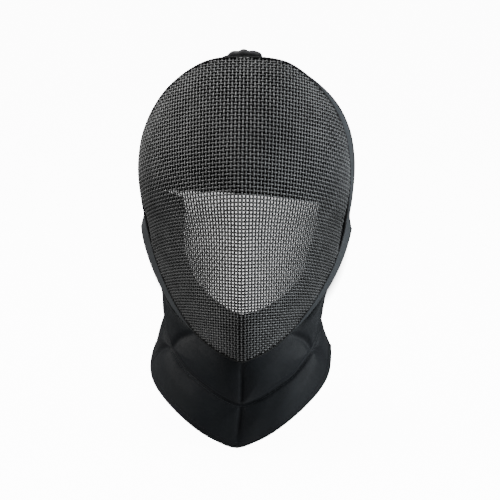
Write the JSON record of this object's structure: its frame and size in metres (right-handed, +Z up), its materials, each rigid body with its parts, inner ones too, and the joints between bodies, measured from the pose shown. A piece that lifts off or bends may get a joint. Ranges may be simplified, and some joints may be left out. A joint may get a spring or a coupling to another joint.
{
  "type": "fencing mask",
  "caption": "Fencing mask with a black woven wire dome, leatherette trim, face padding, a padded bib and a spring tongue behind the head.",
  "frame": {"origin": "the point inside the crown where the top of the wearer's head seats", "axes": "+Z up, -Y out of the face of the mask, +X to the right as seen from the front"},
  "size_m": [0.2057, 0.2189, 0.3827],
  "materials": {
    "wire_mesh": "satin black coating over woven steel wire",
    "trim": "dark grey leatherette",
    "piping": "black beaded piping and binding",
    "bib_cloth": "dense black padded cloth",
    "lining": "matte black lining cloth"
  },
  "bodies": {
    "root": {"mesh_dome": "wire_mesh", "rim_piping": "piping", "rim_band": "trim", "bib": "bib_cloth", "bib_binding": "piping", "forehead_pad": "lining", "cheek_pad_left": "lining", "cheek_pad_right": "lining", "chin_pad": "lining", "crown_tab": "piping", "back_tongue": "lining"}
  },
  "joints": []
}
